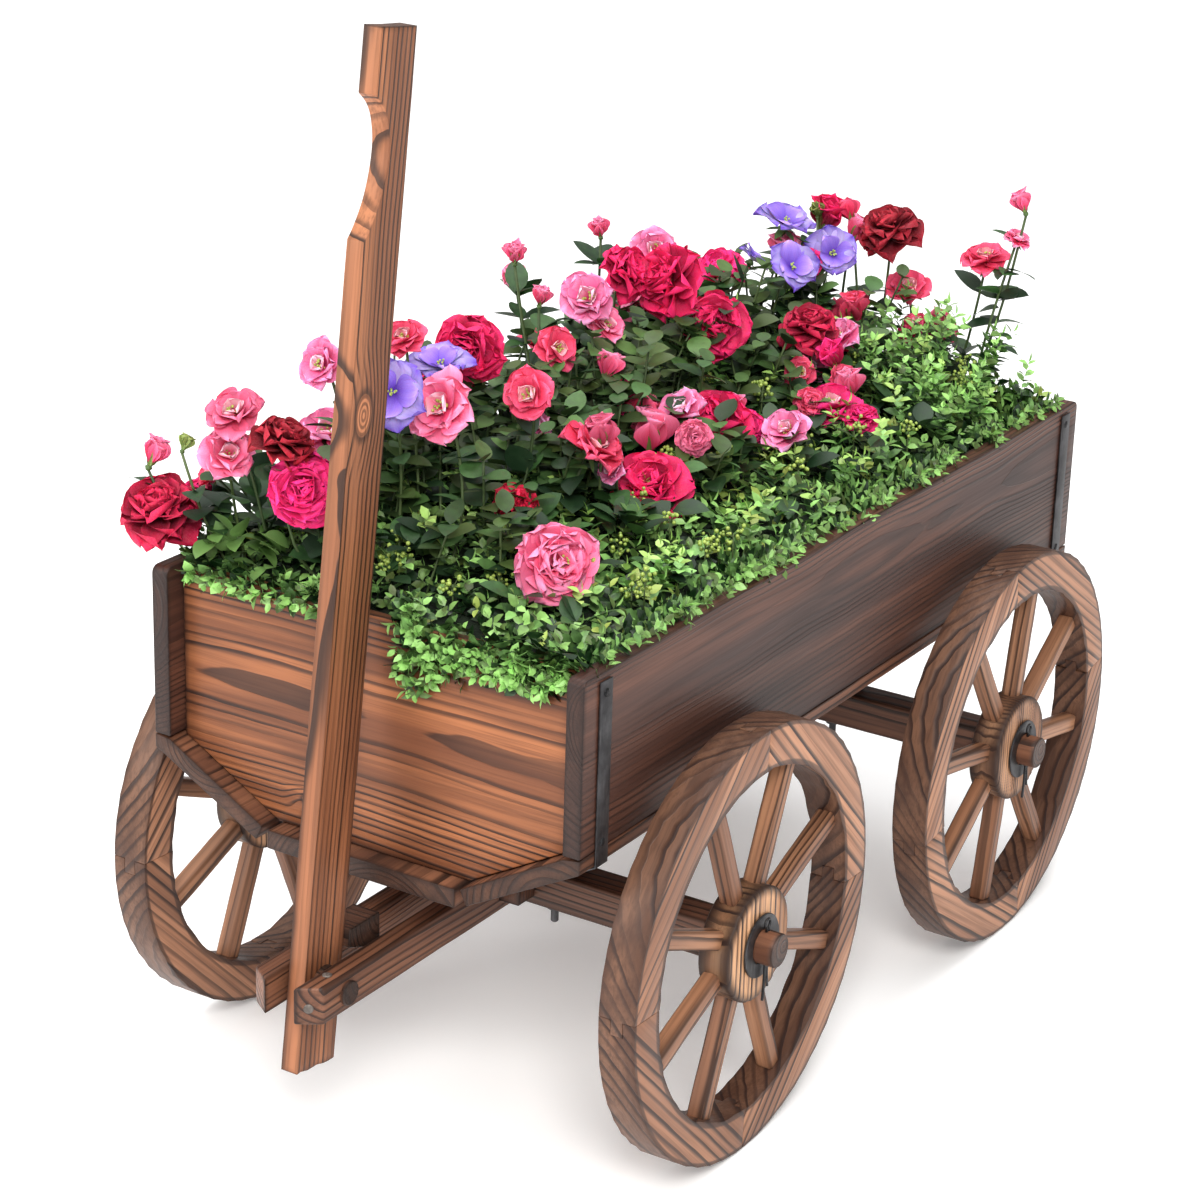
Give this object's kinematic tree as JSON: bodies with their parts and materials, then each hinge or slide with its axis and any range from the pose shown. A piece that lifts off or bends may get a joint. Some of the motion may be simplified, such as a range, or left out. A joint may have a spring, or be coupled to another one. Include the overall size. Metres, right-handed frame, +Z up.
{
  "type": "wooden wagon planter",
  "caption": "Decorative wooden wagon planter: trough body on spoked wheels with plain wooden axles, forked tongue, pivoting pull handle and a lift-out planting of foliage.",
  "frame": {"origin": "on the ground, under the middle of the whole length and width", "axes": "+X along the axles to the right-hand wheels seen from the rear, -Y towards the pull handle, +Z up"},
  "size_m": [0.4776, 0.8289, 0.7892],
  "materials": {
    "wood_side": "scorched fir, oiled, satin",
    "wood_front": "scorched fir, brushed grain, satin",
    "wood_rim": "scorched fir, sawn and brushed",
    "wood_hub": "scorched fir, light brushed face",
    "wood_under": "scorched fir, dark, matt",
    "black_steel": "blackened strap and wire, worn",
    "foliage": "artificial leaves and blooms",
    "planting_bed": "coir fibre mat, matt"
  },
  "bodies": {
    "wagon": {"floor_board": "wood_front", "front_axle_beam": "wood_under", "front_bolster": "wood_under", "front_end_board": "wood_front", "front_hoop_band": "black_steel", "front_left_bolt_and_nut": "black_steel", "front_left_split_pin": "black_steel", "front_left_washer": "black_steel", "front_right_bolt_and_nut": "black_steel", "front_right_split_pin": "black_steel", "front_right_washer": "black_steel", "left_bevel_board": "wood_side", "left_corner_block": "wood_under", "left_pivot_spacer": "wood_under", "left_side_board": "wood_side", "left_tongue_arm": "wood_under", "pivot_peg": "wood_front", "rear_axle_beam": "wood_under", "rear_bolster": "wood_under", "rear_end_board": "wood_front", "rear_hoop_band": "black_steel", "rear_left_bolt_and_nut": "black_steel", "rear_left_split_pin": "black_steel", "rear_left_washer": "black_steel", "rear_right_bolt_and_nut": "black_steel", "rear_right_split_pin": "black_steel", "rear_right_washer": "black_steel", "rear_top_strap": "black_steel", "right_bevel_board": "wood_side", "right_corner_block": "wood_under", "right_pivot_spacer": "wood_under", "right_side_board": "wood_side", "right_tongue_arm": "wood_under", "stop_block": "wood_under"},
    "front_left_wheel": {"front_left_felloe_1": "wood_rim", "front_left_felloe_2": "wood_rim", "front_left_felloe_3": "wood_rim", "front_left_felloe_4": "wood_rim", "front_left_hub_and_spokes": "wood_hub"},
    "front_right_wheel": {"front_right_felloe_1": "wood_rim", "front_right_felloe_2": "wood_rim", "front_right_felloe_3": "wood_rim", "front_right_felloe_4": "wood_rim", "front_right_hub_and_spokes": "wood_hub"},
    "rear_left_wheel": {"rear_left_felloe_1": "wood_rim", "rear_left_felloe_2": "wood_rim", "rear_left_felloe_3": "wood_rim", "rear_left_felloe_4": "wood_rim", "rear_left_hub_and_spokes": "wood_hub"},
    "rear_right_wheel": {"rear_right_felloe_1": "wood_rim", "rear_right_felloe_2": "wood_rim", "rear_right_felloe_3": "wood_rim", "rear_right_felloe_4": "wood_rim", "rear_right_hub_and_spokes": "wood_hub"},
    "handle": {"pull_handle": "wood_front"},
    "planting": {"planting_bed": "planting_bed", "foliage_mound": "foliage"}
  },
  "joints": [
    {"name": "front_left_wheel_spin", "type": "hinge", "parent": "wagon", "child": "front_left_wheel", "pos_m": [-0.2075, -0.1634, 0.16], "axis": [1, 0, 0], "continuous": true},
    {"name": "front_right_wheel_spin", "type": "hinge", "parent": "wagon", "child": "front_right_wheel", "pos_m": [0.2075, -0.1634, 0.16], "axis": [1, 0, 0], "continuous": true},
    {"name": "rear_left_wheel_spin", "type": "hinge", "parent": "wagon", "child": "rear_left_wheel", "pos_m": [-0.2075, 0.2516, 0.16], "axis": [1, 0, 0], "continuous": true},
    {"name": "rear_right_wheel_spin", "type": "hinge", "parent": "wagon", "child": "rear_right_wheel", "pos_m": [0.2075, 0.2516, 0.16], "axis": [1, 0, 0], "continuous": true},
    {"name": "handle_pivot", "type": "hinge", "parent": "wagon", "child": "handle", "pos_m": [0, -0.3757, 0.1552], "axis": [1, 0, 0], "range_deg": [0, 82]},
    {"name": "planting_lift", "type": "slide", "parent": "wagon", "child": "planting", "axis": [0, 0, 1], "range_m": [0, 0.12]}
  ]
}
